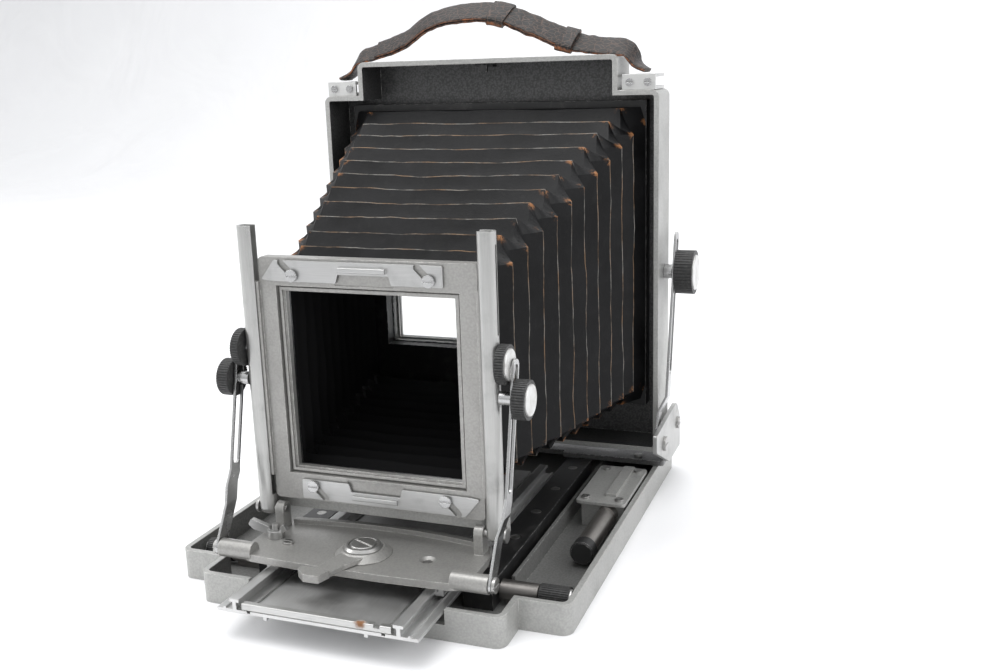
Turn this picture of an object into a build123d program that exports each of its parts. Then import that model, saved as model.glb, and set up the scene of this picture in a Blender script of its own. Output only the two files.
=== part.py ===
"""Metal folding field camera: a base tray with a focusing track, a front
standard, a bellows and a tilting rear box.  Millimetres, +Z up, the lens
looks towards -Y, and the origin is the mouth of the tripod socket."""
from build123d import *
import math
import os

# ------------------------------------------------------------ driving sizes
BODY_HW = 172.0        # half of the outer width of tray and rear box
WALL = 4.7             # casting wall
STEP_IN = 41.0         # how far the narrow end stands in at each side
STEP_HW = BODY_HW - STEP_IN
STEP_D = 32.5          # how far the narrow end stands out
FLOOR = 4.0
TRAY_H = 25.6
TRAY_FRONT = -160.0    # shoulder of the tray
TRAY_BACK = 218.0
CORNER_R = 9.0

SOCKET_R = 4.76        # 3/8 in tripod screw
SOCKET_LEN = 14.0

SHAFT_Y = TRAY_FRONT + 31.0
SHAFT_Z = 15.0
SHAFT_R = 4.0
TEETH = 10
PITCH_R = SHAFT_R + 1.0
MODULE = 2 * PITCH_R / TEETH

TRACK_HW = 83.4        # running edge of the track plate
TRACK_Z = SHAFT_Z + PITCH_R + 2.0
TRACK_T = 2.6
TRACK_FRONT = -237.0
TRACK_BACK = 98.0
TEE_INSET = 15.4
TEE_X = TRACK_HW - TEE_INSET     # centre of each tee rail
TEE_TOP = TRACK_Z + 11.0
STOP_H = 5.5           # height of the bar at the track's front end
RAIL_GRIP = 3.0        # how far a rail reaches over the track edge
RAIL_W = 24.6
RAIL_IN = TRACK_HW - RAIL_GRIP
RAIL_OUT = RAIL_IN + RAIL_W
RAIL_TOP = TRACK_Z + 5.0
SHAFT_END = RAIL_OUT + 34.0      # inner face of each focus knob

PIVOT_Y = -155.0       # swing pivot of the front standard
FRAME_HW = 94.0        # half width of the lens frame
UP_W = 14.6            # width of an upright
UP_IN = FRAME_HW + 1.0
UP_OUT = UP_IN + UP_W
BASE_Z = TEE_TOP + 4.2
BASE_T = 6.0
BASE_TOP = BASE_Z + BASE_T
BASE_HW = FRAME_HW + 5.0
LUG_IN, LUG_OUT = FRAME_HW - 8.5, FRAME_HW - 1.0    # tilt lugs of the base
TUBE_Y = -178.4
TUBE_Z = BASE_Z + 6.3
TUBE_R = 7.4
TUBE_END = UP_OUT + 6.4

TILT_Y = -127.0        # tilt pivot of the uprights
TILT_Z = BASE_Z + 22.8
UP_FRONT, UP_BACK = -133.0, -121.0
UP_TOP = TILT_Z + 239.0
FRAME_Z0, FRAME_Z1 = TILT_Z + 10.0, TILT_Z + 214.0
FRAME_FRONT, FRAME_BACK = -127.0, -117.0
BOARD = 158.0          # lens board side
BOARD_Z = (FRAME_Z0 + FRAME_Z1) / 2
STUD_Y = -127.0
TILT_KNOB_Z = BOARD_Z
RISE_KNOB_Z = BOARD_Z + 26.5
FRONT_KNOB_R = 15.5
STRUT_FOOT_X = TUBE_END + 0.6    # inner faces of the front strut
STRUT_X = STRUT_FOOT_X + 2.8
STRUT_BEND = (-146.0, TUBE_Z + 53.5)
STRUT_TIP = (-122.0, TILT_KNOB_Z + 24.0)
SLOT_HW = 3.9

BOX_FRONT, BOX_BACK = 140.0, 187.0
BOX_Z0 = 41.0
BOX_TOP = 422.5
BOX_SHOULDER = BOX_TOP - STEP_D
BOX_PIVOT = (168.0, 54.0)
STRUT_PIVOT = (129.0, 55.0)
REAR_STUD = (168.5, 217.0)
APERTURE = (-128.0, 128.0, 127.5, 331.0)
REAR_KNOB_R = 21.0
PLATE_T = 4.0
PLATE_IN = BODY_HW + 5.0         # inner face of a hinge plate
PLATE_OUT = PLATE_IN + PLATE_T
REAR_STRUT_T = 2.4
REAR_STRUT_LOW, REAR_STRUT_HIGH = BODY_HW + 1.2, BODY_HW + 8.6
CROSS_Z0, CROSS_Z1 = 26.0, 31.0
RECESS_D = 2.5
RECESS_HW = BODY_HW - 47.0

BELLOWS_FOLDS = 12
BELLOWS_Y0, BELLOWS_Y1 = FRAME_BACK + 3, 168.0
BELLOWS_FRONT = (88.0, 89.0, BOARD_Z)     # half width, half height, centre z
BELLOWS_REAR = (148.0, 146.0, 230.0)
FOLD_DEPTH = 10.0

RUN = 0.05             # running clearance on radius


# ------------------------------------------------------------ small helpers
def block(x0, x1, y0, y1, z0, z1):
    return Pos((x0 + x1) / 2, (y0 + y1) / 2, (z0 + z1) / 2) * Box(x1 - x0, y1 - y0, z1 - z0)


def cyl_x(r, x0, x1, y, z):
    return Pos((x0 + x1) / 2, y, z) * Rot(0, 90, 0) * Cylinder(r, x1 - x0)


def cyl_y(r, y0, y1, x, z):
    return Pos(x, (y0 + y1) / 2, z) * Rot(90, 0, 0) * Cylinder(r, y1 - y0)


def cyl_z(r, z0, z1, x, y):
    return Pos(x, y, (z0 + z1) / 2) * Cylinder(r, z1 - z0)


def prism_z(points, z0, z1):
    return Pos(0, 0, z0) * extrude(Plane.XY * make_face(Polyline(*points, close=True)), z1 - z0)


def prism_x(points, x0, x1):
    """points are (y, z)"""
    face = make_face(Polyline(*[(0, y, z) for y, z in points], close=True))
    return Pos(x0, 0, 0) * extrude(face, x1 - x0, dir=(1, 0, 0))


def prism_y(points, y0, y1):
    """points are (x, z)"""
    face = make_face(Polyline(*[(x, 0, z) for x, z in points], close=True))
    return Pos(0, y0, 0) * extrude(face, y1 - y0, dir=(0, 1, 0))


def pair(shape):
    """the shape and its mirror image, left and right"""
    return [shape, mirror(shape, about=Plane.YZ)]


def left_of(shape):
    return mirror(shape, about=Plane.YZ)


def fillet_vertical(shape, r):
    return fillet(shape.edges().filter_by(Axis.Z), r)


def stepped_outline(inset):
    """tray outline seen from above, shrunk by inset"""
    w, s = BODY_HW - inset, STEP_HW - inset
    y0, y1, y2 = TRAY_FRONT - STEP_D + inset, TRAY_FRONT + inset, TRAY_BACK - inset
    return [(-s, y0), (s, y0), (s, y1), (w, y1), (w, y2), (-w, y2), (-w, y1), (-s, y1)]


def knurled_disc(r, thick, depth=0.6, count=44):
    """disc with straight knurling, axis +X, inner face at x = 0"""
    pts = []
    for i in range(count):
        a = 2 * math.pi * i / count
        for da, rr in ((-0.28, r), (0.28, r), (0.42, r - depth), (0.58, r - depth)):
            t = a + da * 2 * math.pi / count
            pts.append((rr * math.cos(t), rr * math.sin(t)))
    return prism_x(pts, 0, thick)


# ------------------------------------------------------------ tray and fixed parts
def round_tray(shape, r):
    """round the corners that point outward"""
    edges = [e for e in shape.edges().filter_by(Axis.Z)
             if abs(e.center().X) > STEP_HW + 4 or e.center().Y < TRAY_FRONT - STEP_D / 2]
    return fillet(edges, r)


def bed_tray():
    """stepped tray with a floor, outer wall, two long ribs and a track notch"""
    outer = round_tray(prism_z(stepped_outline(0), 0, TRAY_H), CORNER_R)
    inner = round_tray(prism_z(stepped_outline(WALL), FLOOR, TRAY_H + 5), CORNER_R - WALL)
    tray = outer - inner
    for s in (-1, 1):
        x = s * (RAIL_OUT + 6.5)
        tray += block(x - 1.5, x + 1.5, SHAFT_Y + 14, TRAY_BACK - WALL, FLOOR - 1, 20)
    tray += cyl_z(16, FLOOR - 1, SOCKET_LEN, 0, 0)
    tray -= block(-RAIL_IN - 3.8, RAIL_IN + 3.8, TRAY_FRONT - STEP_D - 1,
                  TRAY_FRONT - STEP_D + WALL + 1, 13, TRAY_H + 5)
    return tray - cyl_z(9, -1, SOCKET_LEN + 1, 0, 0)


def tripod_bush():
    return cyl_z(9, 0, SOCKET_LEN, 0, 0) - cyl_z(SOCKET_R, -1, SOCKET_LEN + 1, 0, 0)


RAIL_SCREWS = [(s * (RAIL_IN + 12.6), -134 + 19 * k) for s in (-1, 1) for k in (1, 4, 7, 10, 13)]


def track_rail():
    """right-hand rail: grooved for the track edge, drilled for the shaft"""
    rail = block(RAIL_IN, RAIL_OUT, -146, 139, FLOOR, RAIL_TOP)
    rail -= block(RAIL_IN - 1, TRACK_HW + 0.5, -150, 143, TRACK_Z - 0.3, TRACK_Z + TRACK_T + 0.3)
    rail -= cyl_x(SHAFT_R + RUN, RAIL_IN - 1, RAIL_OUT + 1, SHAFT_Y, SHAFT_Z)
    for x, y in RAIL_SCREWS:
        if x > 0:
            rail -= Pos(x, y, RAIL_TOP - 1.25) * Cone(2.0, 4.5, 2.5)
    return rail


def screw_flat(x, y, z, r=4.4, depth=2.4):
    """countersunk head flush at z, with a slot"""
    head = Pos(x, y, z - depth / 2 - 0.05) * Cone(2.0, r, depth - 0.1)
    return head - block(x - r - 1, x + r + 1, y - 0.5, y + 0.5, z - 1, z + 1)


def screw_up(x, y, z, r=4.0, h=1.8):
    """cheese head standing on a face at z"""
    return cyl_z(r, z, z + h, x, y) - block(x - r - 1, x + r + 1, y - 0.5, y + 0.5, z + h - 0.8, z + h + 1)


def screw_side(x, y, z, r=5.0, h=2.4):
    """cheese head on a face at x, pointing +X"""
    return cyl_x(r, x, x + h, y, z) - block(x + h - 0.9, x + h + 1, y - r - 1, y + r + 1, z - 0.6, z + 0.6)


BRACKET = (BODY_HW - 51.0, BODY_HW - 5.5, 27.0, 120.0)
ROD_X, ROD_Z, ROD_R = BODY_HW - 22.0, 17.5, 9.25
ROD_TIP = -42.0


def bed_screws():
    """every fixed screw head of the tray: rails, hinge plates, lock bracket"""
    heads = [screw_flat(x, y, RAIL_TOP) for x, y in RAIL_SCREWS]
    x0, x1, y0, y1 = BRACKET
    heads += [screw_up(x, y, 30) for x in (x0 + 7, x1 - 7) for y in (y0 + 9, y1 - 9)]
    heads += pair(screw_side(PLATE_OUT, 193, 56, 6, 2.2))
    heads += pair(screw_side(PLATE_OUT, STRUT_PIVOT[0], STRUT_PIVOT[1], 7, 2.6))
    heads += [screw_up(s * (BODY_HW - 22), y, CROSS_Z1) for s in (-1, 1) for y in (152, 205)]
    return heads


def lock_bracket():
    """plate with a raised ridge on two saddles that guide the lock rod"""
    x0, x1, y0, y1 = BRACKET
    plate = fillet_vertical(block(x0, x1, y0, y1, 27, 30), 4)
    plate += block(ROD_X - 5, ROD_X + 5, y0 + 16, y1 - 4, 30, 33)
    for y in (y0 + 6, y1 - 22):
        plate += block(x0 + 4, x1 - 2, y, y + 16, FLOOR, 27)
    return plate - cyl_y(ROD_R + RUN, y0 - 1, y1 + 1, ROD_X, ROD_Z)


def lock_rod():
    rod = cyl_y(ROD_R, ROD_TIP, 114, ROD_X, ROD_Z)
    return rod - cyl_y(ROD_R + 1, 20, 24, ROD_X, ROD_Z) + cyl_y(ROD_R - 1.2, 19, 25, ROD_X, ROD_Z)


def lock_rod_cap():
    return chamfer(cyl_y(10.2, ROD_TIP - 13, ROD_TIP, ROD_X, ROD_Z).edges().group_by(Axis.Y)[0], 1.2)


def cross_plate():
    """plate across the tray's back, with a wide shallow recess and notched front"""
    plate = fillet_vertical(block(-PLATE_IN, PLATE_IN, BOX_FRONT + 3, 215, CROSS_Z0, CROSS_Z1), 3)
    plate -= block(-TEE_X - 6, TEE_X + 6, BOX_FRONT, BOX_FRONT + 9, CROSS_Z0 - 1, CROSS_Z1 + 1)
    recess = block(-RECESS_HW, RECESS_HW, 160, 192, CROSS_Z1 - RECESS_D, CROSS_Z1 + 1)
    return plate - fillet_vertical(recess, 8)


def hinge_plate():
    """right-hand plate with the box pivot pin and strut pivot pin"""
    outline = [(96, 56), (96, 73), (185, 79), (192, 76), (206, 60), (206, 28), (154, 28)]
    plate = prism_x(outline, PLATE_IN, PLATE_OUT)
    plate = fillet(plate.edges().filter_by(Axis.X), 2.5)
    plate += cyl_x(4, BODY_HW - WALL, PLATE_IN, *BOX_PIVOT)
    plate += cyl_x(7, BODY_HW + 0.4, PLATE_IN, *BOX_PIVOT)
    plate += cyl_x(3.5, BODY_HW + 0.6, PLATE_IN, *STRUT_PIVOT)
    return plate + cyl_x(6, REAR_STRUT_LOW + REAR_STRUT_T + 0.3, PLATE_IN, *STRUT_PIVOT)


def shaft_bearings():
    """round sleeves on feet, beside the ribs, that carry the focus shaft"""
    x0, x1 = RAIL_OUT + 2, SHAFT_END - 1
    sleeve = cyl_x(SHAFT_R + 4.2, x0, x1, SHAFT_Y, SHAFT_Z)
    sleeve += block(x0 + 5, x1 - 4, SHAFT_Y - 5, SHAFT_Y + 5, FLOOR, SHAFT_Z)
    return pair(sleeve - cyl_x(SHAFT_R + RUN, x0 - 1, x1 + 1, SHAFT_Y, SHAFT_Z))


# ------------------------------------------------------------ focusing track
def track_bed():
    """extruded track: plate, two tee rails, shallow grooves and two ribs"""
    track = block(-TRACK_HW, TRACK_HW, TRACK_FRONT, TRACK_BACK, TRACK_Z, TRACK_Z + TRACK_T)
    for s in (-1, 1):
        track += block(s * TEE_X - 1.6, s * TEE_X + 1.6, TRACK_FRONT, TRACK_BACK, TRACK_Z, TEE_TOP)
        track += block(s * TEE_X - 4, s * TEE_X + 4, TRACK_FRONT, TRACK_BACK, TEE_TOP - 2.5, TEE_TOP)
        rib, groove, lip = s * (TEE_X - 26), s * (TEE_X - 12), s * (TEE_X + 8.5)
        track += block(rib - 1.5, rib + 1.5, TRACK_FRONT, TRACK_BACK,
                       SHAFT_Z + SHAFT_R + 0.6, TRACK_Z + 0.5)
        track -= block(groove - 1.5, groove + 1.5, TRACK_FRONT - 1, TRACK_BACK + 1,
                       TRACK_Z + 1, TRACK_Z + 4)
        track += block(lip - 1.0, lip + 1.0, TRACK_FRONT, TRACK_BACK, TRACK_Z, TRACK_Z + 4)
    return track


def track_end_stop():
    z0, z1 = TRACK_Z + TRACK_T, TRACK_Z + TRACK_T + STOP_H
    half = TEE_X - 6
    bar = block(-half, half, TRACK_FRONT + 0.5, TRACK_FRONT + 6, z0, z1)
    bar = fillet(bar.edges().filter_by(Axis.X), 0.8)
    return bar - block(half - 14, half - 9, TRACK_FRONT - 1, TRACK_FRONT + 7, z1 - 2.5, z1 + 1)


RACK_IN, RACK_W = TEE_X + 4.0, 6.0


def rack_profile(y0, y1):
    """(y, z) outline of a rack whose teeth point down and straddle the pinion"""
    pitch = math.pi * MODULE
    zp = SHAFT_Z + PITCH_R
    tip, root = zp - 0.9, zp + 1.25
    pts = [(y0, TRACK_Z), (y0, root)]
    k = math.ceil((y0 - SHAFT_Y) / pitch)
    while SHAFT_Y + (k + 0.5) * pitch < y1 - 2:
        c = SHAFT_Y + (k + 0.5) * pitch
        if c > y0 + 2:
            pts += [(c - 0.95, root), (c - 0.25, tip), (c + 0.25, tip), (c + 0.95, root)]
        k += 1
    return pts + [(y1, root), (y1, TRACK_Z)]


def racks():
    return pair(prism_x(rack_profile(-178, -24), RACK_IN, RACK_IN + RACK_W))


def focus_shaft():
    """plain shaft with two ten-tooth pinions cut on it"""
    shaft = cyl_x(SHAFT_R, -SHAFT_END, SHAFT_END, SHAFT_Y, SHAFT_Z)
    pts = []
    for i in range(TEETH):
        a = 2 * math.pi * i / TEETH + math.pi / 2
        for r, h in ((PITCH_R - 1.2, -0.75), (PITCH_R + 0.85, -0.25),
                     (PITCH_R + 0.85, 0.25), (PITCH_R - 1.2, 0.75)):
            t = a + math.atan2(h, r)
            pts.append((SHAFT_Y + r * math.cos(t), SHAFT_Z + r * math.sin(t)))
    wheel = prism_x(pts, RACK_IN - 0.5, RACK_IN + RACK_W + 0.5)
    return shaft + wheel + left_of(wheel)


def focus_knob():
    length = 24.0
    grip = Pos(SHAFT_END, SHAFT_Y, SHAFT_Z) * knurled_disc(9.0, length, 0.5, 30)
    return grip + cyl_x(7.2, SHAFT_END + length, SHAFT_END + length + 1.5, SHAFT_Y, SHAFT_Z)


# ------------------------------------------------------------ front standard
def carriage():
    """saddle that hooks under both tee rails"""
    y0, y1 = -176, -112
    side, low = TEE_X + 9.0, TRACK_Z + 5.0
    top = block(-side, side, y0, y1, TEE_TOP + 0.3, BASE_Z - 0.3)
    for s in (-1, 1):
        a, b = sorted((s * (TEE_X + 4.4), s * side))
        top += block(a, b, y0, y1, low, BASE_Z - 0.3)
        a, b = sorted((s * (TEE_X + 2.0), s * side))
        top += block(a, b, y0, y1, low, TEE_TOP - 2.9)
    return top


LEVER_TOP = BASE_TOP + 5.4


def pivot_stud():
    return cyl_z(6, BASE_Z - 0.3, LEVER_TOP + 0.2, 0, PIVOT_Y)


def pivot_screw():
    """domed washer with a wide slotted screw in it"""
    dome = Pos(0, PIVOT_Y, LEVER_TOP + 1.4) * Cone(15.5, 13.5, 2.4)
    dome -= cyl_z(11.5, LEVER_TOP + 1.8, LEVER_TOP + 3, 0, PIVOT_Y)
    screw = cyl_z(10.2, LEVER_TOP + 1.5, LEVER_TOP + 3.2, 0, PIVOT_Y)
    screw = chamfer(screw.edges().group_by(Axis.Z)[-1], 0.6)
    slot = Pos(0, PIVOT_Y, LEVER_TOP + 3.0) * Rot(0, 0, -25) * Box(24, 2.0, 1.6)
    return dome + screw - slot


LUG_R = 6.0            # tilt lugs of the base
RIB_Y = TILT_Y + 12.0  # back edge of the base at its ends
ARCH_HW = FRAME_HW - 10.0
ARCH = [ARCH_HW * k / 3 for k in (-3, -2, -1, 0, 1, 2, 3)]


def rib_y(x):
    """the arched back edge of the base"""
    return RIB_Y + 8 * (1 - (x / ARCH_HW) ** 2)


def base_outline():
    half = FRAME_HW - 8
    pts = [(-half, TUBE_Y - TUBE_R + 1), (-30, TUBE_Y - 9), (30, TUBE_Y - 9), (half, TUBE_Y - TUBE_R + 1),
           (BASE_HW, TUBE_Y - 2), (BASE_HW, TILT_Y - 10), (FRAME_HW, RIB_Y)]
    pts += [(x, rib_y(x)) for x in ARCH[::-1]]
    return pts + [(-FRAME_HW, RIB_Y), (-BASE_HW, TILT_Y - 10), (-BASE_HW, TUBE_Y - 2)]


def base_plate():
    """cast base: plate, arched rear rib, hinge lugs and the two strut tubes"""
    base = prism_z(base_outline(), BASE_Z, BASE_TOP)
    rib = []
    for off in (0, -5):
        arc = [(x, rib_y(x) + off) for x in ARCH]
        rib += arc if off == 0 else arc[::-1]
    base += prism_z(rib, BASE_TOP - 1, BASE_TOP + 4)
    for s in (-1, 1):
        a, b = sorted((s * LUG_IN, s * LUG_OUT))
        base += block(a, b, TILT_Y - LUG_R, TILT_Y + LUG_R, BASE_Z, TILT_Z)
        base += cyl_x(LUG_R, a, b, TILT_Y, TILT_Z)
        base -= cyl_x(3 + RUN, a - 1, b + 1, TILT_Y, TILT_Z)
        a, b = sorted((s * (FRAME_HW - 8), s * TUBE_END))
        base += cyl_x(TUBE_R, a, b, TUBE_Y, TUBE_Z)
    base -= cyl_z(4.2, BASE_Z - 1, BASE_TOP + 1, 54, PIVOT_Y + 3)
    base -= Pos(54, PIVOT_Y + 3, BASE_TOP - 1.0) * Cone(4.2, 6.6, 2.02)
    return base - cyl_z(6 + RUN, BASE_Z - 1, BASE_TOP + 1, 0, PIVOT_Y)


def strut_pins():
    """pins and heads that carry the lower ends of the front struts"""
    x = STRUT_FOOT_X + 2.2
    pin = cyl_x(3, TUBE_END, x + 1, TUBE_Y, TUBE_Z) + cyl_x(6, x, x + 2.6, TUBE_Y, TUBE_Z)
    return pair(pin - block(x + 1.8, x + 4, TUBE_Y - 7, TUBE_Y + 7, TUBE_Z - 0.6, TUBE_Z + 0.6))


WING_X, WING_Y = 10.0 - FRAME_HW, -148.0


def wing_stud():
    stud = cyl_z(3, BASE_TOP, BASE_TOP + 11.8, WING_X, WING_Y)
    return stud + screw_up(WING_X + 16, WING_Y - 8, BASE_TOP, 4.5, 1.8)


def wing_nut():
    """hub with one long and one short wing"""
    nut = cyl_z(7.0, BASE_TOP + 0.2, BASE_TOP + 7, WING_X, WING_Y)
    for s, reach, rise in ((-1, 25, 9), (1, 11, 8)):
        pts = [(WING_X + s * 3, BASE_TOP + 2), (WING_X + s * (reach - 5), BASE_TOP + rise - 4),
               (WING_X + s * reach, BASE_TOP + rise), (WING_X + s * (reach - 3), BASE_TOP + rise + 5),
               (WING_X + s * 5, BASE_TOP + 9)]
        nut += fillet(prism_y(pts, WING_Y - 2.2, WING_Y + 2.2).edges().filter_by(Axis.Y), 1.2)
    return nut - cyl_z(3 + RUN, BASE_TOP, BASE_TOP + 20, WING_X, WING_Y)


def lock_lever():
    """sloping hub on the swing pivot and an arm with a thick, hooked tip"""
    z0 = BASE_TOP + 0.2
    lever = Pos(0, PIVOT_Y, (z0 + LEVER_TOP) / 2) * Cone(23, 17, LEVER_TOP - z0)
    front = TUBE_Y - 9            # front edge of the base
    arm = [(-13, PIVOT_Y - 14), (-17, front), (-20, front - 16), (-5, front - 16), (0, front),
           (9, PIVOT_Y - 16)]
    paddle = prism_z(arm, z0 + 0.4, LEVER_TOP - 1.0)
    lever += fillet(paddle.edges().filter_by(Axis.Z), 1.5)
    hook = [(-29, front - 14), (-29, front - 20), (-21, front - 27), (-8, front - 27), (-4, front - 14)]
    tip = prism_z(hook, z0, LEVER_TOP + 1.0)
    lever += fillet(tip.edges().filter_by(Axis.Z), 1.5)
    return lever - cyl_z(6 + RUN, z0 - 1, LEVER_TOP + 1, 0, PIVOT_Y)


def upright():
    """right-hand channel with a round front, open towards the lens frame"""
    depth = UP_BACK - UP_FRONT
    col = block(UP_IN, UP_OUT, UP_FRONT, UP_BACK, TILT_Z, UP_TOP)
    col += cyl_x(depth / 2, UP_IN, UP_OUT, TILT_Y, TILT_Z)
    front = [e for e in col.edges().filter_by(Axis.Z) if abs(e.center().Y - UP_FRONT) < 0.1]
    col = fillet(front, depth * 0.45)
    col -= block(UP_IN - 1, UP_OUT - 3, UP_FRONT + 2.5, UP_BACK - 2.5, TILT_Z + 12, UP_TOP + 1)
    slot = block(UP_OUT - 4, UP_OUT + 1, STUD_Y - 1.6, STUD_Y + 1.6, RISE_KNOB_Z + 22, UP_TOP - 10)
    col -= slot
    return col - cyl_x(3, UP_IN - 1, UP_OUT + 1, TILT_Y, TILT_Z)


def tilt_pins():
    pin = cyl_x(3, LUG_IN - 1, UP_OUT, TILT_Y, TILT_Z) + cyl_x(6, UP_OUT, UP_OUT + 2.4, TILT_Y, TILT_Z)
    return pair(pin)


def standard_tie():
    """flat bar with two ears that joins the uprights behind the lens frame"""
    front = FRAME_BACK + 0.5
    z0, z1 = TILT_Z - 2, FRAME_Z0
    ear = block(UP_IN + 5, UP_OUT, UP_BACK, front + 3, z0, z1)
    return block(-UP_OUT, UP_OUT, front, front + 3, z0, z1) + ear + left_of(ear)


def upright_studs():
    tilt = cyl_x(5.5, UP_OUT, STRUT_X - 0.3, STUD_Y, TILT_KNOB_Z)
    tilt += cyl_x(2.8, STRUT_X - 1, STRUT_X + 9, STUD_Y, TILT_KNOB_Z)
    rise = cyl_x(3, UP_OUT, UP_OUT + 5.5, STUD_Y, RISE_KNOB_Z)
    return pair(tilt) + pair(rise)


def knob(x0, y, z, r, thick, bore, depth):
    """knurled knob with a proud, chamfered cap; inner face at x0"""
    body = Pos(x0, y, z) * knurled_disc(r, thick)
    cap = chamfer(cyl_x(r * 0.8, x0 + thick, x0 + thick + 1.4, y, z).edges().group_by(Axis.X)[-1], 0.5)
    return body + cap - cyl_x(bore + RUN, x0 - 1, x0 + depth, y, z)


def rise_knob():
    return knob(UP_OUT + 0.5, STUD_Y, RISE_KNOB_Z, FRONT_KNOB_R, 7.2, 3, 5.2)


def tilt_knob():
    return knob(STRUT_X + 3.2, STUD_Y, TILT_KNOB_Z, FRONT_KNOB_R, 10.5, 2.8, 6)


def slotted_strut(pivot, stud, x_low, x_high, thick, bend, length, width, slot_hw, slot, bore):
    """flat bar from pivot towards stud, joggled outward, with a long slot.
    bend and slot are distances along the bar; built upright, then turned."""
    b0, b1 = bend
    side = [(x_low, -width / 2), (x_low, b0), (x_high, b1), (x_high, length),
            (x_high + thick, length), (x_high + thick, b1), (x_low + thick, b0), (x_low + thick, -width / 2)]
    bar = prism_y(side, -width / 2, width / 2)
    outline = block(x_low - 1, x_high + thick + 1, -width / 2, width / 2, 0, length - width / 2)
    for z in (0, length - width / 2):
        outline += cyl_x(width / 2, x_low - 1, x_high + thick + 1, 0, z)
    bar = bar & outline
    s0, s1 = slot
    bar -= block(x_low - 1, x_high + 9, -slot_hw, slot_hw, s0, s1)
    bar -= cyl_x(slot_hw, x_low - 1, x_high + 9, 0, s0) + cyl_x(slot_hw, x_low - 1, x_high + 9, 0, s1)
    bar -= cyl_x(bore, x_low - 1, x_high + 9, 0, 0)
    angle = math.degrees(math.atan2(stud[0] - pivot[0], stud[1] - pivot[1]))
    return Pos(0, pivot[0], pivot[1]) * Rot(-angle, 0, 0) * bar


def front_strut():
    """flat bar bent at BEND so that its slotted end stands nearly upright"""
    pivot, bend, tip = (TUBE_Y, TUBE_Z), STRUT_BEND, STRUT_TIP
    x0, x1, t = STRUT_FOOT_X, STRUT_X, 2.0
    outline = cyl_x(6.5, x0 - 1, x1 + t + 1, *pivot)
    for (ya, za), (yb, zb), half in ((pivot, bend, 6.5), (bend, tip, 6.0)):
        run = math.hypot(yb - ya, zb - za)
        lean = math.degrees(math.atan2(yb - ya, zb - za))
        bar = block(x0 - 1, x1 + t + 1, -half, half, 0, run)
        outline += Pos(0, ya, za) * Rot(-lean, 0, 0) * bar + cyl_x(half, x0 - 1, x1 + t + 1, yb, zb)
        if half < 6.5:
            slot = block(x0 - 2, x1 + t + 2, -SLOT_HW, SLOT_HW, 10, run - 2)
            for z in (10, run - 2):
                slot += cyl_x(SLOT_HW, x0 - 2, x1 + t + 2, 0, z)
            outline -= Pos(0, ya, za) * Rot(-lean, 0, 0) * slot
    z0, z1, z2, z3 = pivot[1] - 8, bend[1] - 22, bend[1] - 10, tip[1] + 8
    side = [(x0, z0), (x0, z1), (x1, z2), (x1, z3), (x1 + t, z3), (x1 + t, z2), (x0 + t, z1), (x0 + t, z0)]
    strut = prism_y(side, pivot[0] - 20, tip[0] + 20) & outline
    return strut - cyl_x(3 + RUN, x0 - 1, x1 + t + 1, *pivot)


def lens_frame():
    """square frame with a board recess, an inner opening and edge tongues"""
    b = BOARD / 2
    frame = fillet(block(-FRAME_HW, FRAME_HW, FRAME_FRONT, FRAME_BACK, FRAME_Z0, FRAME_Z1)
                   .edges().filter_by(Axis.Y), 4)
    for s in (-1, 1):
        a, c = sorted((s * (FRAME_HW - 0.5), s * (UP_OUT - 3.6)))
        frame += block(a, c, UP_FRONT + 3.1, UP_BACK - 3.1, FRAME_Z0 + 20, FRAME_Z1 - 20)
    frame -= block(-b, b, FRAME_FRONT - 4, FRAME_FRONT + 5, BOARD_Z - b, BOARD_Z + b)
    w, h = b - 5.5, b - 5
    frame -= block(-w, w, FRAME_FRONT, FRAME_BACK + 1, BOARD_Z - h, BOARD_Z + h)
    w, h = b - 1.5, b - 3.7
    ring = block(-w, w, FRAME_FRONT + 2.5, FRAME_FRONT + 5.5, BOARD_Z - w, BOARD_Z + w)
    frame += ring - block(-h, h, FRAME_FRONT, FRAME_FRONT + 6, BOARD_Z - h, BOARD_Z + h)
    for z in (BOARD_Z + b + 2, BOARD_Z - b - 17):
        frame -= block(-26, 26, FRAME_FRONT - 1, FRAME_FRONT + 0.8, z, z + 15)
    return frame


CLIP_Y = FRAME_FRONT - 0.2
CLIP_T = 2.0
CLIP_Z = BOARD_Z + BOARD / 2 + 4.0     # lower edge of the upper clip
CLIP_TOP = [(-91, CLIP_Z + 1), (-78, CLIP_Z + 17), (67, CLIP_Z + 17), (67, CLIP_Z), (24, CLIP_Z),
            (22, CLIP_Z + 7), (-22, CLIP_Z + 7), (-24, CLIP_Z), (-80, CLIP_Z)]
CLIP_SCREWS = [(-62.0, CLIP_Z + 5), (56.0, CLIP_Z + 5)]


def lens_clip(flip):
    """sliding board catch with two slanted slots and a finger bar;
    the lower one is the upper one turned half round"""
    plate = fillet(prism_y(CLIP_TOP, CLIP_Y - CLIP_T, CLIP_Y).edges().filter_by(Axis.Y), 1.2)
    bar = block(-20, 20, CLIP_Y - 5, CLIP_Y - CLIP_T + 0.2, CLIP_Z + 9, CLIP_Z + 13)
    plate += fillet(bar.edges().filter_by(Axis.X), 0.8)
    for x, z in CLIP_SCREWS:
        slot = block(-14, 0, CLIP_Y - 4, CLIP_Y + 1, -3, 3) + cyl_y(3, CLIP_Y - 4, CLIP_Y + 1, 0, 0)
        slot += cyl_y(3, CLIP_Y - 4, CLIP_Y + 1, -14, 0)
        plate -= Pos(x, 0, z) * Rot(0, 45, 0) * slot
    if flip:
        plate = Pos(0, 0, BOARD_Z) * Rot(0, 180, 0) * Pos(0, 0, -BOARD_Z) * plate
    return plate


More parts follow.
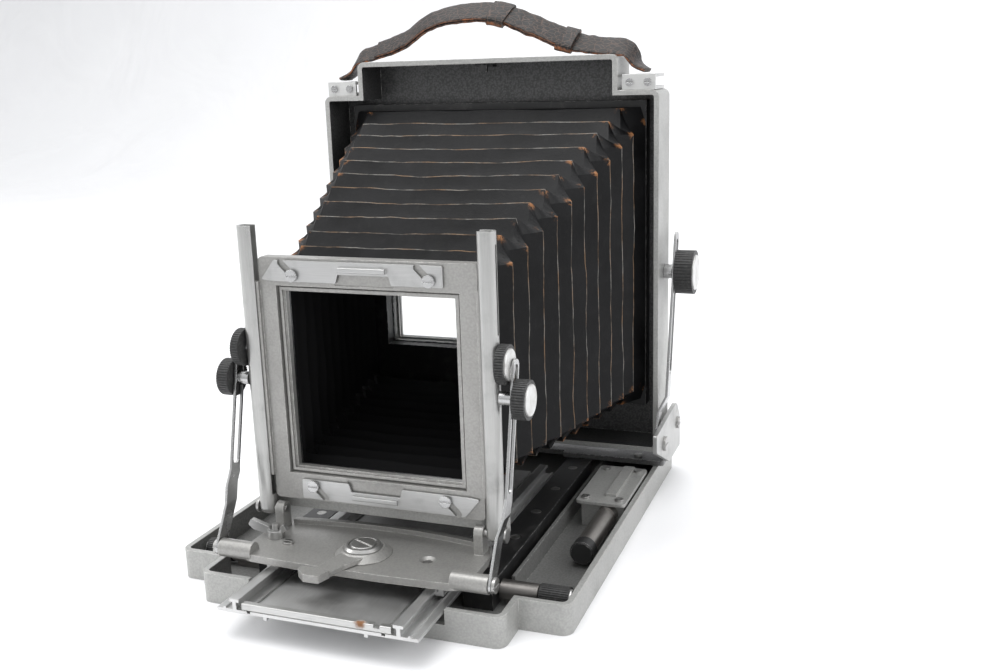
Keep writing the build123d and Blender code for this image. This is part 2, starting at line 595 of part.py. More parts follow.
def clip_screws():
    out = []
    for x, z in CLIP_SCREWS:
        for px, pz in ((x, z), (-x, 2 * BOARD_Z - z)):
            s = cyl_y(2.5, CLIP_Y - 2.4, FRAME_FRONT, px, pz) + cyl_y(5, CLIP_Y - 5, CLIP_Y - 2.4, px, pz)
            out.append(s - block(px - 6, px + 6, CLIP_Y - 6, CLIP_Y - 4.2, pz - 0.6, pz + 0.6))
    return out


def bellows_front_frame():
    hw, hh, zc = BELLOWS_FRONT
    ring = block(-hw - 1, hw + 1, FRAME_BACK, FRAME_BACK + 3, zc - hh - 1, zc + hh + 1)
    w, h = BOARD / 2 - 5, BOARD / 2 - 4.5
    return ring - block(-w, w, FRAME_BACK - 1, FRAME_BACK + 4, zc - h, zc + h)


# ------------------------------------------------------------ bellows
def ring_at(y, hw, hh, zc):
    return Pos(0, y, zc) * (Plane.XZ * Rectangle(2 * hw, 2 * hh))


def pleated_tube(shrink):
    """ruled loft through alternating ridge and valley rectangles"""
    rings = []
    steps = 2 * BELLOWS_FOLDS
    for i in range(steps + 1):
        t = i / steps
        y = BELLOWS_Y0 + (BELLOWS_Y1 - BELLOWS_Y0) * t
        hw, hh, zc = [a + (b - a) * t for a, b in zip(BELLOWS_FRONT, BELLOWS_REAR)]
        d = shrink + (FOLD_DEPTH if i % 2 == 0 else 0.0)
        rings.append(ring_at(y, hw - d, hh - d, zc))
    return loft(rings, ruled=True)


def bellows():
    return pleated_tube(0) - pleated_tube(1.0)


# ------------------------------------------------------------ rear box
def box_outline(inset):
    """(x, z) front view of the box"""
    w, s = BODY_HW - inset, STEP_HW + 2 - inset
    zs, zt = BOX_SHOULDER - inset, BOX_TOP - inset
    z0 = BOX_Z0 + inset
    return [(-w, z0), (w, z0), (w, zs), (s, zs), (s, zt), (-s, zt), (-s, zs), (-w, zs)]


def round_box(shape, r):
    """round the corners that point outward"""
    inner_corner = STEP_HW + 6
    edges = [e for e in shape.edges().filter_by(Axis.Y)
             if abs(e.center().X) > inner_corner or e.center().Z > BOX_SHOULDER + 10]
    return fillet(edges, r)


def box_shell():
    """forward-facing tray with a rear window and a pivot hole in each side"""
    outer = round_box(prism_y(box_outline(0), BOX_FRONT, BOX_BACK), 7)
    inner = round_box(prism_y(box_outline(WALL), BOX_FRONT - 5, BOX_BACK - WALL), 7 - WALL)
    shell = outer - inner
    a0, a1, z0, z1 = APERTURE
    shell -= block(a0, a1, BOX_BACK - 10, BOX_BACK + 5, z0, z1)
    y, z = BOX_PIVOT
    for s in (-1, 1):
        a, b = sorted((s * (BODY_HW - WALL), s * BODY_HW))
        shell += cyl_x(10, a, b, y, z)
        shell -= cyl_x(4 + RUN, a - 1, b + 1, y, z)
    return shell


def bellows_rear_frame():
    hw, hh, zc = BELLOWS_REAR
    ring = block(-hw - 6, hw + 6, BELLOWS_Y1, BOX_BACK - WALL, zc - hh - 4, zc + hh + 4)
    a0, a1, z0, z1 = APERTURE
    return ring - block(a0 - 1, a1 + 1, BELLOWS_Y1 - 1, BOX_BACK, z0 - 1, z1 + 1)


def box_studs():
    y, z = REAR_STUD
    stud = cyl_x(7, BODY_HW, REAR_STRUT_HIGH - 0.4, y, z)
    stud += cyl_x(3.2, REAR_STRUT_HIGH - 0.6, REAR_STRUT_HIGH + 11.4, y, z)
    return pair(stud)


def rear_knob():
    x = REAR_STRUT_HIGH + REAR_STRUT_T + 1.2
    return knob(x, REAR_STUD[0], REAR_STUD[1], REAR_KNOB_R, 17.5, 3.2, 10)


def rear_strut():
    return slotted_strut(STRUT_PIVOT, REAR_STUD, REAR_STRUT_LOW, REAR_STRUT_HIGH, REAR_STRUT_T,
                         (30, 46), 205, 14, 4.4, (72, 194), 3.5 + RUN)


def box_latch():
    """small catch under the raised top, in the middle"""
    z = BOX_TOP - WALL
    catch = block(-9, 9, 146, 158, z - 3.5, z)
    return catch + block(-4, 4, 143, 147, z - 8, z - 1)


HANDLE_IN, HANDLE_OUT = STEP_HW + 6.0, BODY_HW - 4.0


def handle_lugs():
    """angle plates on the shoulders that hold the strap ends"""
    x0, x1 = HANDLE_IN, HANDLE_OUT
    lug = block(x0, x1, BOX_FRONT + 2, BOX_FRONT + 40, BOX_SHOULDER, BOX_SHOULDER + 3)
    lug += block(x0, x1, BOX_FRONT + 2, BOX_FRONT + 5, BOX_SHOULDER, BOX_SHOULDER + 14)
    lug += block(x0, x1, BOX_FRONT + 2, BOX_FRONT + 40, BOX_SHOULDER + 11, BOX_SHOULDER + 14)
    return pair(lug)


def lug_screws():
    out = []
    z = BOX_SHOULDER + 7
    for x in (HANDLE_IN + 7, HANDLE_OUT - 7):
        head = cyl_y(3.6, BOX_FRONT + 0.4, BOX_FRONT + 2, x, z)
        out += pair(head - block(x - 4, x + 4, BOX_FRONT, BOX_FRONT + 1.1, z - 0.5, z + 0.5))
    return out


STRAP_Y = 160.0
STRAP_TOP = BOX_SHOULDER + 14
STRAP_W, STRAP_T = 26.0, 4.5
STRAP_STEPS = 36
STRAP_LEFT = [(21, 3), (10, 8), (0, 24), (-23, 32), (-57, 44), (-97, 61)]
STRAP_RIGHT = [(-83, 61), (-49, 42), (-23, 30), (0, 24), (10, 8), (21, 3)]
STRAP = [(-HANDLE_IN - x, STRAP_TOP + z) for x, z in STRAP_LEFT] + [(8, STRAP_TOP + 67)]
STRAP += [(HANDLE_IN + x, STRAP_TOP + z) for x, z in STRAP_RIGHT]


def strap_band(width, thick):
    """arched band that follows STRAP, extruded across its width"""
    line = Spline(*[(x, STRAP_Y, z) for x, z in STRAP])
    outer, inner = [], []
    for i in range(STRAP_STEPS + 1):
        p, d = line @ (i / STRAP_STEPS), line % (i / STRAP_STEPS)
        outer.append((p.X - d.Z * thick / 2, p.Z + d.X * thick / 2))
        inner.append((p.X + d.Z * thick / 2, p.Z - d.X * thick / 2))
    return prism_y(outer + inner[::-1], STRAP_Y - width / 2, STRAP_Y + width / 2)


def handle_strap():
    return strap_band(STRAP_W, STRAP_T)


def strap_loops():
    """keepers and end fittings round the strap"""
    sleeve = strap_band(STRAP_W + 3.6, STRAP_T + 3.6) - strap_band(STRAP_W, STRAP_T)
    y0, y1, z1 = STRAP_Y - 30, STRAP_Y + 30, STRAP_TOP + 96
    out = [sleeve & block(x0, x1, y0, y1, STRAP_TOP, z1) for x0, x1 in ((-3, 9), (62, 70))]
    out += pair(cyl_z(3, STRAP_TOP, STRAP_TOP + 0.6, HANDLE_IN + 13, STRAP_Y))
    return out


# ------------------------------------------------------------ focusing back
GG_Y = BOX_BACK + 4.0


def back_frame():
    """flat frame on the box's back that guides the focusing screen"""
    a0, a1, z0, z1 = APERTURE
    frame = block(a0 - 20, a1 + 20, BOX_BACK, BOX_BACK + 3.5, z0 - 20, z1 + 20)
    return frame - block(a0, a1, BOX_BACK - 1, BOX_BACK + 5, z0, z1)


def screen_frame():
    a0, a1, z0, z1 = APERTURE
    frame = block(a0 - 14, a1 + 14, GG_Y, GG_Y + 9, z0 - 12, z1 + 12)
    frame -= block(a0 + 2, a1 - 2, GG_Y - 1, GG_Y + 10, z0 + 2, z1 - 2)
    return frame - block(a0 - 3, a1 + 3, GG_Y + 3, GG_Y + 5.5, z0 - 3, z1 + 3)


def ground_glass():
    a0, a1, z0, z1 = APERTURE
    return block(a0 - 2.5, a1 + 2.5, GG_Y + 3.2, GG_Y + 5.2, z0 - 2.5, z1 + 2.5)


def leaf_springs():
    """bowed strips at left and right that press the screen home"""
    z0, z1 = APERTURE[2] + 20, APERTURE[3] - 20
    zc, y = (z0 + z1) / 2, GG_Y + 9
    prof = [(y, z0), (y, z0 + 12), (y + 14, zc), (y, z1 - 12), (y, z1),
            (y + 0.9, z1), (y + 0.9, z1 - 12), (y + 14.9, zc), (y + 0.9, z0 + 12), (y + 0.9, z0)]
    side = APERTURE[1] + 2.5
    return pair(prism_x(prof, side, side + 9))


# ------------------------------------------------------------ list of nodes
PARTS = {
    "bed_tray": bed_tray, "tripod_bush": tripod_bush,
    "rail_right": track_rail, "rail_left": lambda: left_of(track_rail()),
    "bed_screws": bed_screws, "cross_plate": cross_plate,
    "hinge_plate_right": hinge_plate, "hinge_plate_left": lambda: left_of(hinge_plate()),
    "lock_bracket": lock_bracket, "shaft_bearings": shaft_bearings,
    "lock_rod": lock_rod, "lock_rod_cap": lock_rod_cap,
    "track_bed": track_bed, "track_end_stop": track_end_stop, "racks": racks,
    "focus_shaft": focus_shaft, "focus_knob_right": focus_knob,
    "focus_knob_left": lambda: left_of(focus_knob()),
    "carriage": carriage, "pivot_stud": pivot_stud, "pivot_screw": pivot_screw,
    "base_plate": base_plate, "strut_pins": strut_pins, "wing_stud": wing_stud,
    "wing_nut": wing_nut, "lock_lever": lock_lever,
    "upright_right": upright, "upright_left": lambda: left_of(upright()),
    "tilt_pins": tilt_pins, "standard_tie": standard_tie, "upright_studs": upright_studs,
    "rise_knob_right": rise_knob, "rise_knob_left": lambda: left_of(rise_knob()),
    "tilt_knob_right": tilt_knob, "tilt_knob_left": lambda: left_of(tilt_knob()),
    "front_strut_right": front_strut, "front_strut_left": lambda: left_of(front_strut()),
    "lens_frame": lens_frame, "clip_top": lambda: lens_clip(False),
    "clip_bottom": lambda: lens_clip(True), "clip_screws": clip_screws,
    "bellows_front_frame": bellows_front_frame, "bellows": bellows,
    "bellows_rear_frame": bellows_rear_frame, "box_shell": box_shell,
    "box_studs": box_studs, "box_latch": box_latch, "handle_lugs": handle_lugs,
    "lug_screws": lug_screws, "handle_strap": handle_strap, "strap_loops": strap_loops,
    "rear_knob_right": rear_knob, "rear_knob_left": lambda: left_of(rear_knob()),
    "rear_strut_right": rear_strut, "rear_strut_left": lambda: left_of(rear_strut()),
    "back_frame": back_frame, "screen_frame": screen_frame,
    "ground_glass": ground_glass, "leaf_springs": leaf_springs,
}


def as_shape(made):
    return Compound(children=list(made)) if isinstance(made, (list, ShapeList)) else made


os.makedirs("parts", exist_ok=True)
for name, make in PARTS.items():
    export_step(as_shape(make()), f"parts/{name}.step")
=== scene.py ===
import math
import bpy
from mathutils import Matrix, Vector, noise


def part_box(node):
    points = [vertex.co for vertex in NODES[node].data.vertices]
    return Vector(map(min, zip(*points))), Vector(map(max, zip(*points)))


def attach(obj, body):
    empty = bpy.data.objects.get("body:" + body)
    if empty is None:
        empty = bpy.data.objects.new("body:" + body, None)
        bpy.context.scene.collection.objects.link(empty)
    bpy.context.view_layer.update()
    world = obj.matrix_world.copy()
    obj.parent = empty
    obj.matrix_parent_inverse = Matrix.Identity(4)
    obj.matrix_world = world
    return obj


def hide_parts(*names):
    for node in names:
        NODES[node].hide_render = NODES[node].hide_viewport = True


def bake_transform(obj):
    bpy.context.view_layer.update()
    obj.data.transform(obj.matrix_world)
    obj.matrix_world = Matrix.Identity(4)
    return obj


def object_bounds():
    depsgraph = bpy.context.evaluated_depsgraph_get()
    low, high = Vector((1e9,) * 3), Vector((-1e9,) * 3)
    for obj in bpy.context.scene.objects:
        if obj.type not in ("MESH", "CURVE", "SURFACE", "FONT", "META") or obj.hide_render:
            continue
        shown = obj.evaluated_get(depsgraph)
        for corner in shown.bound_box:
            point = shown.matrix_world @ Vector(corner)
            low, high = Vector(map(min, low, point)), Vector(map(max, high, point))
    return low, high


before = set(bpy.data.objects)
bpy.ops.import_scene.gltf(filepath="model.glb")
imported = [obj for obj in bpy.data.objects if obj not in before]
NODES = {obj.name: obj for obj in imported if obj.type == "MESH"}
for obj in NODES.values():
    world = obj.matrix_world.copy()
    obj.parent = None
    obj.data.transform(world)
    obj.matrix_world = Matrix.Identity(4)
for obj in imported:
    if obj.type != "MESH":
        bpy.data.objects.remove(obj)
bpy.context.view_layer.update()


# ------------------------------------------------------------ shader helpers
class Shader:
    """a material's node tree with short calls for the nodes used here"""

    def __init__(self, name):
        self.mat = bpy.data.materials.new(name)
        self.mat.use_nodes = True
        self.tree = self.mat.node_tree
        self.bsdf = self.tree.nodes["Principled BSDF"]
        self.pos = self.node("ShaderNodeTexCoord").outputs["Object"]

    def node(self, kind, **settings):
        made = self.tree.nodes.new(kind)
        for key, value in settings.items():
            setattr(made, key, value)
        return made

    def link(self, value, socket):
        if isinstance(value, bpy.types.NodeSocket):
            self.tree.links.new(value, socket)
        elif hasattr(socket.default_value, "__len__") and len(value) == 3:
            socket.default_value = (*value, 1.0) if len(socket.default_value) == 4 else value
        else:
            socket.default_value = value

    def put(self, **values):
        for key, value in values.items():
            self.link(value, self.bsdf.inputs[key.replace("_", " ")])

    def math(self, op, a, b=0.0, c=0.0, clamp=False):
        made = self.node("ShaderNodeMath", operation=op, use_clamp=clamp)
        for i, value in enumerate((a, b, c)):
            self.link(value, made.inputs[i])
        return made.outputs[0]

    def scaled(self, factors):
        made = self.node("ShaderNodeVectorMath", operation="MULTIPLY")
        self.link(self.pos, made.inputs[0])
        made.inputs[1].default_value = factors
        return made.outputs[0]

    def noise(self, scale, detail=3.0, rough=0.5, vector=None, distort=0.0):
        made = self.node("ShaderNodeTexNoise")
        self.link(vector or self.pos, made.inputs["Vector"])
        made.inputs["Scale"].default_value = scale
        made.inputs["Detail"].default_value = detail
        made.inputs["Roughness"].default_value = rough
        made.inputs["Distortion"].default_value = distort
        return made.outputs["Fac"]

    def cells(self, scale, feature="SMOOTH_F1", vector=None):
        made = self.node("ShaderNodeTexVoronoi", feature=feature)
        self.link(vector or self.pos, made.inputs["Vector"])
        made.inputs["Scale"].default_value = scale
        return made.outputs["Distance"]

    def ramp(self, value, low, high, start=0.0, end=1.0):
        made = self.node("ShaderNodeMapRange", interpolation_type="SMOOTHSTEP")
        for i, v in enumerate((value, low, high, start, end)):
            self.link(v, made.inputs[i])
        return made.outputs[0]

    def mix(self, factor, a, b):
        made = self.node("ShaderNodeMix", data_type="RGBA")
        self.link(factor, made.inputs[0])
        self.link(a, made.inputs[6])
        self.link(b, made.inputs[7])
        return made.outputs[2]

    def axis(self, index):
        split = self.node("ShaderNodeSeparateXYZ")
        self.link(self.pos, split.inputs[0])
        return split.outputs[index]

    def attribute(self, name):
        return self.node("ShaderNodeAttribute", attribute_name=name).outputs["Fac"]

    def edge(self, radius=0.0012, low=0.985, high=0.90):
        """1 along sharp edges, 0 on flats"""
        rounded = self.node("ShaderNodeBevel", samples=4)
        rounded.inputs["Radius"].default_value = radius
        flat = self.node("ShaderNodeNewGeometry").outputs["Normal"]
        dot = self.node("ShaderNodeVectorMath", operation="DOT_PRODUCT")
        self.link(rounded.outputs[0], dot.inputs[0])
        self.link(flat, dot.inputs[1])
        return self.ramp(dot.outputs["Value"], low, high)

    def bump(self, height, strength, distance, soft_edge=0.0008):
        made = self.node("ShaderNodeBump")
        made.inputs["Strength"].default_value = strength
        made.inputs["Distance"].default_value = distance
        self.link(height, made.inputs["Height"])
        if soft_edge:
            rounded = self.node("ShaderNodeBevel", samples=4)
            rounded.inputs["Radius"].default_value = soft_edge
            self.link(rounded.outputs[0], made.inputs["Normal"])
        self.link(made.outputs[0], self.bsdf.inputs["Normal"])


# ------------------------------------------------------------ materials
def hammertone(name, light, dark, inside=None, metal=0.35, rough=0.34, grain=0.15):
    """hammered stove paint: fine cells, grime, chipped bright edges, and painted shade on the inside faces
    where a mask is given
    """
    s = Shader(name)
    cells = s.cells(620.0)
    fine = s.noise(900.0, 2.0)
    cloud = s.noise(14.0, 5.0, 0.6)
    tone = s.mix(s.ramp(cells, 0.1, 0.75), light, dark)
    grime = s.math("MULTIPLY", s.ramp(cloud, 0.45, 0.72), 0.35)
    colour = s.mix(grime, tone, [c * 0.62 for c in light])
    if inside is not None:
        # painted shade: the inside faces get a dark hammertone that stands for the shade falling inside
        # the box and tray
        shaded = s.mix(s.ramp(cells, 0.1, 0.7), (0.10, 0.10, 0.10), (0.05, 0.05, 0.05))
        colour = s.mix(inside(s), colour, shaded)
    chips = s.math("MULTIPLY", s.edge(), s.ramp(s.noise(160.0, 4.0, 0.7), 0.42, 0.60))
    colour = s.mix(s.math("MULTIPLY", chips, 0.8), colour, (0.62, 0.61, 0.59))
    s.put(Base_Color=colour, Metallic=s.ramp(chips, 0.0, 1.0, metal, 0.9),
          Roughness=s.ramp(cloud, 0.3, 0.8, rough, rough + 0.16))
    s.bump(s.math("ADD", cells, s.math("MULTIPLY", fine, 0.25)), grain, 0.0006)
    return s.mat


BOX_WALL = 0.0052 - 0.0009       # wall of the rear box less the depth that the mask reaches into it
LUG_LENGTH = 0.035               # from the outer end of a handle lug in to the step of the box
BOX_RIMS = (0.0006, 0.001)       # front and back rims keep the outside paint


def inside_box(s):
    """1 on the painted inside faces of the rear box, where painted shade darkens them"""
    lo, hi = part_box("box_shell")
    lug_low, lug_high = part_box("handle_lugs")
    x = s.math("ABSOLUTE", s.axis(0))
    y, z = s.axis(1), s.axis(2)
    wide = s.math("MULTIPLY", s.math("LESS_THAN", x, hi.x - BOX_WALL),
                  s.math("LESS_THAN", z, lug_low.z - BOX_WALL))
    top = s.math("MULTIPLY", s.math("LESS_THAN", x, lug_high.x - LUG_LENGTH - BOX_WALL),
                 s.math("LESS_THAN", z, hi.z - BOX_WALL))
    depth = s.math("MULTIPLY", s.math("GREATER_THAN", y, lo.y + BOX_RIMS[0]),
                   s.math("LESS_THAN", y, hi.y - BOX_RIMS[1]))
    return s.math("MULTIPLY", s.math("MAXIMUM", wide, top), depth)


TRAY_FLOOR = 0.0036              # height from which the tray counts as inside
TRAY_RIM = 0.0006
TRAY_SIDE_WALL = 0.0040
TRAY_FRONT_WALL = 0.0042
TRAY_NOSE = (0.1268, -0.1560)    # inner half width of the narrow front part, and where it ends
TRAY_SHADE = 0.55                # how strongly the painted shade darkens the inside


def inside_tray(s):
    """above 0 on the tray's floor and inner walls, giving the strength of the painted shade there"""
    lo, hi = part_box("bed_tray")
    x = s.math("ABSOLUTE", s.axis(0))
    above = s.math("GREATER_THAN", s.axis(2), TRAY_FLOOR)
    below = s.math("LESS_THAN", s.axis(2), hi.z - TRAY_RIM)
    within = s.math("LESS_THAN", x, hi.x - TRAY_SIDE_WALL)
    behind = s.math("GREATER_THAN", s.axis(1), lo.y + TRAY_FRONT_WALL)
    near = s.math("MULTIPLY", s.math("MULTIPLY", above, below), s.math("MULTIPLY", within, behind))
    nose = s.math("MAXIMUM", s.math("LESS_THAN", x, TRAY_NOSE[0]),
                  s.math("GREATER_THAN", s.axis(1), TRAY_NOSE[1]))
    return s.math("MULTIPLY", s.math("MULTIPLY", near, nose), TRAY_SHADE)


def metal(name, colour, rough, along=1, scratch=0.35, spot=None, grime=0.25, shine=1.0):
    """bare metal brushed along one axis (0 x, 1 y, 2 z), with scuffs and dull patches"""
    s = Shader(name)
    stretch = [1.0, 1.0, 1.0]
    stretch[along] = 0.03
    grain = s.noise(1400.0, 2.0, 0.6, s.scaled(stretch))
    cloud = s.noise(22.0, 5.0, 0.65)
    scuff = s.ramp(s.noise(240.0, 4.0, 0.7, s.scaled([1.0, 0.35, 1.0])), 0.60, 0.72)
    tone = s.mix(s.ramp(grain, 0.3, 0.7), [c * 0.93 for c in colour], colour)
    tone = s.mix(s.math("MULTIPLY", s.ramp(cloud, 0.5, 0.75), grime), tone, [c * 0.45 for c in colour])
    tone = s.mix(s.math("MULTIPLY", scuff, 0.25), tone, [min(1.0, c * 1.12) for c in colour])
    roughness = s.ramp(cloud, 0.3, 0.8, rough, rough + 0.18)
    metallic = shine
    if spot:
        centre, radius, tint = spot
        near = s.node("ShaderNodeVectorMath", operation="DISTANCE")
        s.link(s.pos, near.inputs[0])
        near.inputs[1].default_value = centre
        uneven = s.math("MULTIPLY", s.noise(260.0, 4.0, 0.7), radius * 1.2)
        ragged = s.math("ADD", near.outputs["Value"], uneven)
        mask = s.ramp(ragged, radius * 1.6, radius * 0.9)
        tone = s.mix(mask, tone, tint)
        metallic = s.ramp(mask, 0.0, 1.0, shine, 0.2)
        roughness = s.math("ADD", roughness, s.math("MULTIPLY", mask, 0.3))
    s.put(Base_Color=tone, Metallic=metallic, Roughness=roughness)
    s.bump(s.math("ADD", grain, s.math("MULTIPLY", scuff, -0.6)), 0.06 * scratch / 0.35, 0.0004)
    return s.mat


def black_enamel(name, tone=0.018, rough=0.32):
    s = Shader(name)
    dust = s.ramp(s.noise(60.0, 5.0, 0.7), 0.48, 0.78)
    worn = s.math("MULTIPLY", s.edge(0.0009), s.ramp(s.noise(240.0, 3.0), 0.45, 0.6))
    colour = s.mix(s.math("MULTIPLY", dust, 0.3), (tone, tone, tone * 1.02), (0.11, 0.105, 0.10))
    colour = s.mix(s.math("MULTIPLY", worn, 0.7), colour, (0.42, 0.41, 0.40))
    s.put(Base_Color=colour, Metallic=0.1, Roughness=s.ramp(dust, 0.0, 1.0, rough, 0.6))
    s.bump(s.noise(700.0, 2.0), 0.08, 0.0004)
    return s.mat


CAP_SHARE = 0.80                 # of the knob's radius
CAP_DEPTH = 0.0022
TURNING_MARKS = 9000.0           # rings on the cap, radians per metre


def knob_finish(name, node):
    """black knurled rim with a turned, bare metal cap on the outer face"""
    s = Shader(name)
    lo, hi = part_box(node)
    cy, cz, radius = (lo.y + hi.y) / 2, (lo.z + hi.z) / 2, (hi.z - lo.z) / 2
    outer = max(abs(lo.x), abs(hi.x))
    dy, dz = s.math("SUBTRACT", s.axis(1), cy), s.math("SUBTRACT", s.axis(2), cz)
    r = s.math("SQRT", s.math("ADD", s.math("MULTIPLY", dy, dy), s.math("MULTIPLY", dz, dz)))
    x = s.math("ABSOLUTE", s.axis(0))
    cap = s.math("MULTIPLY", s.math("LESS_THAN", r, radius * CAP_SHARE + 0.0001),
                 s.math("GREATER_THAN", x, outer - CAP_DEPTH))
    rings = s.math("SINE", s.math("MULTIPLY", r, TURNING_MARKS))
    cloud = s.noise(90.0, 4.0, 0.6)
    silver = s.mix(s.ramp(cloud, 0.4, 0.75), (0.70, 0.70, 0.69), (0.50, 0.49, 0.47))
    dust = s.ramp(s.noise(420.0, 4.0, 0.7), 0.45, 0.75)
    black = s.mix(s.math("MULTIPLY", dust, 0.5), (0.022, 0.022, 0.022), (0.10, 0.098, 0.095))
    s.put(Base_Color=s.mix(cap, black, silver), Metallic=s.math("MULTIPLY", cap, 0.85),
          Roughness=s.ramp(cap, 0.0, 1.0, 0.48, 0.38))
    s.bump(s.math("MULTIPLY", s.math("MULTIPLY", rings, cap), 0.15), 0.15, 0.0003, 0.0005)
    return s.mat


def frosted_glass(name):
    s = Shader(name)
    s.put(Base_Color=(0.97, 0.975, 0.975), Roughness=0.45, Transmission_Weight=0.95, IOR=1.05)
    s.bump(s.noise(2500.0, 2.0), 0.1, 0.0002, 0)
    return s.mat


def bellows_skin(name):
    """thin black leather over cloth; fold lines worn to brown and grey"""
    s = Shader(name)
    wear, corner, seam = s.attribute("wear"), s.attribute("corner"), s.attribute("seam")
    lining = s.attribute("lining")
    grain = s.cells(1500.0, "F1")
    cloud = s.noise(16.0, 6.0, 0.65)
    weave = s.noise(420.0, 3.0, 0.6)
    base = s.mix(s.ramp(cloud, 0.35, 0.75), (0.004, 0.004, 0.0045), (0.012, 0.012, 0.013))
    dust = s.ramp(s.noise(130.0, 5.0, 0.7), 0.5, 0.8)
    dusty = s.mix(s.math("MULTIPLY", dust, 0.25), base, (0.030, 0.029, 0.028))
    patch = s.ramp(s.noise(30.0, 4.0, 0.6), 0.40, 0.62)
    line = s.ramp(s.math("ADD", wear, s.math("MULTIPLY", s.noise(300.0, 3.0, 0.7), 0.25)), 0.62, 1.0)
    broken = s.ramp(s.noise(48.0, 4.0, 0.7), 0.36, 0.60, 0.25, 1.0)
    line = s.math("MULTIPLY", line, broken)
    brown = s.mix(patch, (0.27, 0.26, 0.24), (0.27, 0.17, 0.10))
    skin = s.mix(s.math("MULTIPLY", line, 0.95), dusty, brown)
    torn = s.math("MULTIPLY", s.ramp(corner, 0.30, 0.9), s.ramp(s.noise(120.0, 5.0, 0.75), 0.50, 0.60))
    skin = s.mix(s.math("MULTIPLY", torn, 0.85), skin, (0.34, 0.15, 0.06))
    skin = s.mix(s.math("MULTIPLY", seam, 0.8), skin, (0.006, 0.006, 0.006))
    skin = s.mix(lining, skin, (0.012, 0.012, 0.0125))
    s.put(Base_Color=skin, Roughness=s.math("MAXIMUM", s.ramp(cloud, 0.3, 0.7, 0.34, 0.54), lining),
          Specular_IOR_Level=s.ramp(lining, 0.0, 1.0, 0.20, 0.10))
    height = s.math("ADD", s.math("MULTIPLY", grain, 0.5), s.math("MULTIPLY", weave, 0.5))
    s.bump(s.math("ADD", height, s.math("MULTIPLY", torn, 0.8)), 0.28, 0.0005, 0)
    return s.mat


def strap_skin(name):
    s = Shader(name)
    edge, stitch = s.attribute("edge"), s.attribute("stitch")
    cracks = s.ramp(s.cells(160.0, "DISTANCE_TO_EDGE", s.scaled([1.0, 1.6, 1.0])), 0.0, 0.10, 1.0, 0.0)
    cloud = s.noise(40.0, 5.0, 0.65)
    base = s.mix(s.ramp(cloud, 0.35, 0.7), (0.009, 0.0085, 0.0085), (0.026, 0.024, 0.023))
    worn = s.ramp(s.math("ADD", edge, s.math("MULTIPLY", s.noise(120.0, 5.0, 0.7), 0.9)), 1.28, 1.50)
    tan = s.mix(s.ramp(s.noise(70.0, 3.0), 0.4, 0.6), (0.36, 0.13, 0.05), (0.16, 0.08, 0.05))
    colour = s.mix(s.math("MULTIPLY", worn, 0.9), base, tan)
    colour = s.mix(s.math("MULTIPLY", cracks, 0.3), colour, (0.20, 0.12, 0.09))
    colour = s.mix(s.math("MULTIPLY", stitch, 0.6), colour, (0.10, 0.085, 0.075))
    s.put(Base_Color=colour, Roughness=s.ramp(cloud, 0.3, 0.7, 0.34, 0.55), Specular_IOR_Level=0.26)
    height = s.math("SUBTRACT", s.math("ADD", s.math("MULTIPLY", s.noise(600.0, 3.0), 0.5), stitch),
                    s.math("MULTIPLY", cracks, 0.7))
    s.bump(height, 0.4, 0.0006, 0)
    return s.mat


LIGHT, DARKER = (0.42, 0.42, 0.405), (0.35, 0.35, 0.34)
paint = hammertone("paint", LIGHT, DARKER)
paint_box = hammertone("paint_box", LIGHT, DARKER, inside_box)
paint_tray = hammertone("paint_tray", LIGHT, DARKER, inside_tray)
paint_frame = hammertone("paint_frame", (0.36, 0.355, 0.34), (0.31, 0.305, 0.295), metal=0.5, rough=0.30,
                         grain=0.12)
aluminium = metal("aluminium", (0.66, 0.66, 0.655), 0.34, scratch=0.2, grime=0.3)
stop_low, stop_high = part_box("track_end_stop")
rust_at = (stop_low.x + 0.80 * (stop_high.x - stop_low.x), stop_low.y, stop_high.z)
stop_metal = metal("stop_metal", (0.58, 0.58, 0.57), 0.3, 0, spot=(rust_at, 0.006, (0.22, 0.10, 0.04)))
clip_metal = metal("clip_metal", (0.50, 0.50, 0.495), 0.30, 0, grime=0.4)
steel = metal("steel", (0.45, 0.445, 0.435), 0.28, 2, grime=0.5)
chrome = metal("chrome", (0.50, 0.50, 0.50), 0.18, 1, scratch=0.15, grime=0.45)
upright_metal = metal("upright_metal", (0.46, 0.46, 0.45), 0.27, 2, scratch=0.2, grime=0.4, shine=0.85)
lug_metal = metal("lug_metal", (0.62, 0.62, 0.61), 0.35, 0, scratch=0.2, grime=0.2, shine=0.6)
rod_steel = metal("rod_steel", (0.30, 0.285, 0.27), 0.34, 1, scratch=0.15)
dark_steel = metal("dark_steel", (0.22, 0.21, 0.20), 0.36, 0)
brass = metal("brass", (0.68, 0.50, 0.24), 0.32)
# painted shade: the cross plate gets a dark hammertone standing for the shadow the bellows cast over it
painted_shade_plate = hammertone("painted_shade_plate", (0.13, 0.13, 0.13), (0.09, 0.09, 0.09))
black = black_enamel("black")
rubbery = black_enamel("rubbery", 0.014, 0.5)
glass = frosted_glass("glass")
bellows_leather = bellows_skin("bellows_leather")
strap_leather = strap_skin("strap_leather")

